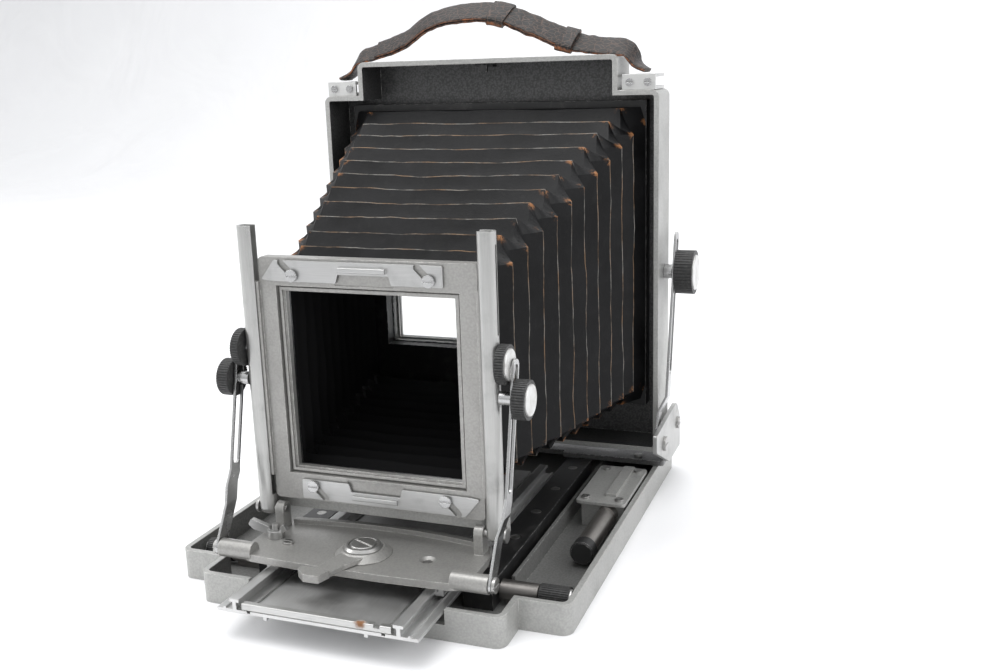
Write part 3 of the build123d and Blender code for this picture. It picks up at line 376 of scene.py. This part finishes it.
FINISH = {
    "bed_tray": paint_tray, "tripod_bush": brass, "rail_right": black, "rail_left": black,
    "bed_screws": steel, "cross_plate": painted_shade_plate, "hinge_plate_right": upright_metal,
    "hinge_plate_left": upright_metal, "lock_bracket": paint, "shaft_bearings": dark_steel,
    "lock_rod": rod_steel, "lock_rod_cap": rubbery, "track_bed": aluminium, "track_end_stop": stop_metal,
    "racks": steel, "focus_shaft": steel, "carriage": aluminium,
    "pivot_stud": steel, "pivot_screw": steel, "base_plate": paint_frame, "strut_pins": steel,
    "wing_stud": steel, "wing_nut": clip_metal, "lock_lever": paint_frame, "upright_right": upright_metal,
    "upright_left": upright_metal, "tilt_pins": steel, "standard_tie": paint, "upright_studs": chrome,
    "front_strut_right": chrome, "front_strut_left": chrome, "lens_frame": paint_frame,
    "clip_top": clip_metal, "clip_bottom": clip_metal, "clip_screws": chrome,
    "bellows_front_frame": black, "bellows_rear_frame": rubbery, "box_shell": paint_box,
    "box_studs": chrome, "box_latch": rubbery, "handle_lugs": lug_metal, "lug_screws": chrome,
    "rear_strut_right": chrome, "rear_strut_left": chrome, "back_frame": paint, "screen_frame": paint,
    "ground_glass": glass, "leaf_springs": chrome,
}
for kind in ("focus", "rise", "tilt", "rear"):
    for hand in ("right", "left"):
        knob = f"{kind}_knob_{hand}"
        FINISH[knob] = knob_finish(knob + "_finish", knob)
for node, mat in FINISH.items():
    data = NODES[node].data
    data.materials.clear()
    data.materials.append(mat)


def mesh_piece(name, verts, faces, mat, body=None, attributes=None):
    data = bpy.data.meshes.new(name)
    data.from_pydata(verts, [], faces)
    data.validate()
    for key, values in (attributes or {}).items():
        made = data.attributes.new(key, "FLOAT", "POINT")
        made.data.foreach_set("value", values)
    data.shade_smooth()
    data.materials.append(mat)
    piece = bpy.data.objects.new(name, data)
    bpy.context.scene.collection.objects.link(piece)
    if body:
        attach(piece, body)
    return piece


# ------------------------------------------------------------ bellows
FOLDS = 12
STATIONS = 2 * FOLDS             # ridges and valleys by turns
FRONT_LOW, FRONT_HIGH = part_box("bellows_front_frame")
REAR_LOW, REAR_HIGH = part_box("bellows_rear_frame")
Y0, Y1 = FRONT_HIGH.y + 0.0002, REAR_LOW.y - 0.0002
SIDE = (0.0895, 0.1530)          # side ridge, half width at front and rear
TOP = (0.0890, 0.1480)           # top ridge above the centre line
CENTRE = (0.172, 0.230)          # height of the centre line at front and rear
FOLD = 0.0130                    # depth of a fold
MITRE = (0.0150, 0.0190)         # how far a ridge stops short of the corner
SKIN = 0.0011                    # thickness of the leather
ACROSS = 26                      # steps along each long edge of a ring
RING = 4 * (ACROSS + 1)          # points of a ring
SUBSTEPS = (0.0, 0.055, 0.13, 0.32, 0.5, 0.68, 0.87, 0.945)


def lerp(pair, t):
    return pair[0] + (pair[1] - pair[0]) * t


def ring(station):
    """points of a closed ring, each with its side and its place u from -1 to 1 along it.
    Even stations have the side ridges, odd ones the top ridges."""
    t = station / STATIONS
    y = Y0 + (Y1 - Y0) * t
    side, top, zc, cut = lerp(SIDE, t), lerp(TOP, t), lerp(CENTRE, t), lerp(MITRE, t)
    ends = min(1.0, min(station, STATIONS - station) + 0.35)
    depth = FOLD * ends
    if station % 2:
        z_top, x_end, x_side, z_end = top, side - cut, side - depth, top - depth
    else:
        z_top, x_end, x_side, z_end = top - depth, side - depth, side, top - cut
    rising = [-1 + 2 * i / ACROSS for i in range(ACROSS + 1)]
    falling = [-u for u in rising]
    pts = [(u * x_end, z_top, "top", u) for u in rising]
    pts += [(x_side, u * z_end, "side", u) for u in falling]
    pts += [(u * x_end, -z_top, "bottom", u) for u in falling]
    pts += [(-x_side, u * z_end, "side", u) for u in rising]
    return [(Vector((x, y, zc + z)), kind, u) for x, z, kind, u in pts]


def bellows_rows(first, last):
    """the rings of the stations first..last, with steps in between"""
    rows = []
    for k in range(first, last):
        a, b = ring(k), ring(k + 1)
        for f in SUBSTEPS:
            rows.append((k, f, [(p[0].lerp(q[0], f), p[1], p[2]) for p, q in zip(a, b)]))
    rows.append((last, 0.0, ring(last)))
    return rows


def bellows_point(k, f, p, kind, u):
    """moves a point for slack leather and gives its wear, corner and seam marks"""
    ridge_here = (k % 2 == 1) if kind != "side" else (k % 2 == 0)
    near_ridge = f if ridge_here else 1 - f
    fixed = min(1.0, min(k + f, STATIONS - k - f) / 1.2)
    puff = math.sin(math.pi * f) * (1 - u ** 6)
    wobble = noise.noise(Vector((p.x * 22, p.y * 30 + 5, p.z * 22))) * 0.0016
    wobble += noise.noise(Vector((p.x * 90, p.y * 60, p.z * 90 + 3))) * 0.0006
    sag = 0.0030 * math.sin(math.pi * (p.y - Y0) / (Y1 - Y0))
    if kind == "top":
        out = Vector((0, 0, 1))
    elif kind == "bottom":
        out = Vector((0, 0, -1))
    else:
        out = Vector((math.copysign(1, p.x), 0, 0))
    p = p + out * (wobble - 0.0010 * puff) * fixed
    p.z -= sag * (0.4 + 0.6 * (1 - u * u)) * fixed
    wear = max(0.0, 1 - near_ridge / 0.075) if fixed >= 1 else 0.0
    corner = max(0.0, (abs(u) - 0.90) / 0.10) * (1 - min(1.0, near_ridge / 0.5))
    seam = 0.0
    if kind == "top":
        seam = max(0.0, 1 - abs(u - 0.385) / 0.045)
    elif kind == "side":
        seam = max(0.0, 1 - abs(u + 0.3 + 0.08 * math.sin(k * 1.7)) / 0.05) * 0.5
    return p, wear, corner, seam


def bellows_segment(name, first, last):
    """a closed skin from station first to last, named after the bodies at its two ends"""
    verts, wear, corner, seam, faces = [], [], [], [], []
    rows = bellows_rows(first, last)
    for k, f, row in rows:
        for p, kind, u in row:
            q, w, c, m = bellows_point(k, f, p, kind, u)
            verts.append(q)
            wear.append(w)
            corner.append(c)
            seam.append(m)
    for r in range(len(rows) - 1):
        for i in range(RING):
            j = (i + 1) % RING
            faces.append((r * RING + i, r * RING + j, (r + 1) * RING + j, (r + 1) * RING + i))
    inner = len(verts)
    for p in list(verts):
        t = (p.y - Y0) / (Y1 - Y0)
        inward = Vector((-p.x, 0, lerp(CENTRE, t) - p.z)).normalized() * SKIN
        verts.append(p + inward)
    faces += [tuple(inner + v for v in reversed(face)) for face in faces]
    last_row = (len(rows) - 1) * RING
    for i in range(RING):
        j = (i + 1) % RING
        faces.append((j, i, inner + i, inner + j))
        faces.append((last_row + i, last_row + j, inner + last_row + j, inner + last_row + i))
    blank = [0.0] * inner
    marks = {"wear": wear + blank, "corner": corner + blank, "seam": seam + blank,
             "lining": blank + [1.0] * inner}
    piece = mesh_piece(name, verts, faces, bellows_leather, attributes=marks)
    piece.data.set_sharp_from_angle(angle=math.radians(20))
    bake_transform(piece)
    return piece


SEGMENTS = [("lens_frame", "front_uprights", 0, 1), ("front_uprights", "front_base", 1, 6),
            ("front_base", "front_carriage", 6, 7), ("front_carriage", "track", 7, 14),
            ("track", "bed", 14, 18), ("bed", "rear_box", 18, 24)]
for a, b, first, last in SEGMENTS:
    bellows_segment(f"bellows_{a}_{b}", first, last)
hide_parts("bellows")


# ------------------------------------------------------------ carrying strap
def catmull(points, t):
    """smooth curve through the points, t from 0 to 1"""
    n = len(points) - 1
    i = min(int(t * n), n - 1)
    f = t * n - i
    p = [points[max(0, min(n, i + k))] for k in (-1, 0, 1, 2)]
    return 0.5 * ((2 * p[1]) + (p[2] - p[0]) * f + (2 * p[0] - 5 * p[1] + 4 * p[2] - p[3]) * f * f
                  + (3 * p[1] - p[0] - 3 * p[2] + p[3]) * f ** 3)


LUG_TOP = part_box("handle_lugs")[1].z
STRAP_MID_Y = sum(p.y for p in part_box("handle_strap")) / 2
STRAP_LINE = [Vector((x, STRAP_MID_Y + dy, LUG_TOP + z)) for x, dy, z in (
    (-0.157, 0.0, 0.003), (-0.147, 0.0, 0.009), (-0.138, -0.001, 0.023), (-0.114, -0.002, 0.029),
    (-0.086, -0.001, 0.038), (-0.062, 0.0, 0.053), (-0.030, 0.0, 0.060), (0.010, 0.0, 0.059),
    (0.046, 0.0, 0.046), (0.078, 0.0, 0.033), (0.108, 0.0, 0.027), (0.137, 0.0, 0.023),
    (0.147, 0.0, 0.009), (0.157, 0.0, 0.003))]


def band(name, line, t0, t1, width, thick, steps, mat, body, lift=0.0, twist=0.0, ragged=0.0):
    """leather band along a curve: rounded edges, thin at the rim, stitch marks"""
    across = [-1.0, -0.97, -0.9, -0.86, -0.80, -0.4, 0.0, 0.4, 0.80, 0.86, 0.9, 0.97, 1.0]
    verts, faces, edge, stitch = [], [], [], []
    for i in range(steps + 1):
        t = t0 + (t1 - t0) * i / steps
        p = catmull(line, t)
        d = (catmull(line, min(1.0, t + 0.003)) - catmull(line, max(0.0, t - 0.003))).normalized()
        side = Matrix.Rotation(twist * min(1.0, 6 * t, 6 * (1 - t)) ** 2, 3, d) @ Vector((0, 1, 0))
        up = d.cross(side).normalized()
        up = up if up.z > 0 or abs(up.x) > 0.7 else -up
        wide = width * (1 + ragged * noise.noise(Vector((t * 60, 1.5, 0)))) / 2
        for face_side in (1, -1):
            for a in across if face_side == 1 else reversed(across):
                crown = math.sqrt(max(0.0, 1 - abs(a) ** 6))
                rough = noise.noise(p * 160 + Vector((a, 0, face_side))) * 0.0005
                verts.append(p + side * (a * wide) + up * (face_side * (thick / 2) * crown + lift + rough))
                edge.append(max(0.0, (abs(a) - 0.75) / 0.25))
                stitch.append(1.0 if abs(abs(a) - 0.86) < 0.02 and i % 3 else 0.0)
    n = 2 * len(across)
    for i in range(steps):
        for j in range(n):
            k = (j + 1) % n
            faces.append((i * n + j, i * n + k, (i + 1) * n + k, (i + 1) * n + j))
    faces += [tuple(reversed(range(n))), tuple(range(steps * n, steps * n + n))]
    piece = mesh_piece(name, verts, faces, mat, body, attributes={"edge": edge, "stitch": stitch})
    piece.data.set_sharp_from_angle(angle=math.radians(50))
    return piece


TWIST = 0.62                     # radians that the strap leans over between its lugs
KEEPER_HALF = 0.018              # half the length of a keeper along the line
strap = band("strap", STRAP_LINE, 0.0, 1.0, 0.027, 0.0042, 220, strap_leather, "rear_box",
             twist=TWIST, ragged=0.10)
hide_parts("handle_strap")
band("strap_pad", STRAP_LINE, 0.22, 0.70, 0.0275, 0.0035, 130, strap_leather, "rear_box",
     lift=0.0028, twist=TWIST, ragged=0.06)
keepers = [band(f"strap_keeper_{i}", STRAP_LINE, t - KEEPER_HALF, t + KEEPER_HALF, 0.033, 0.0105, 10,
                strap_leather, "rear_box", lift=0.001, twist=TWIST) for i, t in enumerate((0.545, 0.70))]
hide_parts("strap_loops")


# ------------------------------------------------------------ stage, light, camera
def sweep_sheet():
    """pale cloth: a floor that turns up behind the camera in a wide curve"""
    z0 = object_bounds()[0].z
    bend, reach, back = 1.2, 4.0, 2.4
    profile = [(-3.0, z0), (back, z0)]
    profile += [(back + bend * math.sin(a), z0 + bend * (1 - math.cos(a)))
                for a in [math.pi / 2 * k / 12 for k in range(1, 13)]]
    profile.append((back + bend, z0 + bend + 2.0))
    verts = [Vector((x, y, z)) for y, z in profile for x in (-reach, reach)]
    faces = [(2 * i, 2 * i + 1, 2 * i + 3, 2 * i + 2) for i in range(len(profile) - 1)]
    s = Shader("floor_cloth")
    s.put(Base_Color=s.mix(s.noise(3.0, 4.0), (0.80, 0.80, 0.81), (0.86, 0.86, 0.87)), Roughness=0.9)
    s.bump(s.noise(2.4, 3.0, 0.55, s.scaled([1.0, 1.0, 0.5]), 0.8), 0.5, 0.05, 0)
    sheet = mesh_piece("sweep", verts, faces, s.mat)


sweep_sheet()
bpy.context.scene.view_settings.view_transform = "Standard"

world = bpy.data.worlds.new("studio")
bpy.context.scene.world = world
world.use_nodes = True
sky = world.node_tree
coords = sky.nodes.new("ShaderNodeTexCoord")
height = sky.nodes.new("ShaderNodeSeparateXYZ")
sky.links.new(coords.outputs["Generated"], height.inputs[0])
band_of_light = sky.nodes.new("ShaderNodeMapRange")
for i, value in enumerate((-0.2, 0.9, 0.55, 1.15)):      # from low and high to dim and bright
    band_of_light.inputs[i + 1].default_value = value
sky.links.new(height.outputs[2], band_of_light.inputs[0])
sky.nodes["Background"].inputs[0].default_value = (0.98, 0.99, 1.0, 1.0)
sky.links.new(band_of_light.outputs[0], sky.nodes["Background"].inputs[1])


def softbox(name, at, aim, size, power):
    light = bpy.data.lights.new(name, "AREA")
    light.shape = "RECTANGLE"
    light.size, light.size_y = size
    light.energy = power
    lamp = bpy.data.objects.new(name, light)
    lamp.location = at
    lamp.rotation_euler = (Vector(aim) - Vector(at)).to_track_quat("-Z", "Y").to_euler()
    bpy.context.scene.collection.objects.link(lamp)


softbox("top", (-0.3, -0.1, 1.9), (0, 0, 0.1), (1.4, 1.4), 22)
softbox("left", (-1.7, -0.6, 0.9), (0, 0, 0.2), (0.8, 1.2), 12)
softbox("right", (1.8, -0.2, 1.0), (0, 0, 0.2), (0.8, 1.2), 9)
softbox("backdrop", (0.0, 1.6, 2.6), (0, 2.8, 0.4), (3.0, 0.8), 34)

CAMERA_AT = Vector((0.3913, -0.8740, 0.4173))
YAW, PITCH, ROLL = 0.365, 0.240, -0.032
forward = Vector((-math.sin(YAW) * math.cos(PITCH), math.cos(YAW) * math.cos(PITCH), -math.sin(PITCH)))
level = Vector((math.cos(YAW), math.sin(YAW), 0))
upward = level.cross(forward)
right = math.cos(ROLL) * level + math.sin(ROLL) * upward
up = -math.sin(ROLL) * level + math.cos(ROLL) * upward
camera_data = bpy.data.cameras.new("camera")
camera_data.sensor_width = 36.0
camera_data.lens = 39.74
camera_data.shift_x, camera_data.shift_y = 0.0061, -0.0016
camera = bpy.data.objects.new("camera", camera_data)
bpy.context.scene.collection.objects.link(camera)
turn = Matrix((right, up, -forward)).transposed()
camera.matrix_world = Matrix.Translation(CAMERA_AT) @ turn.to_4x4()
bpy.context.scene.camera = camera
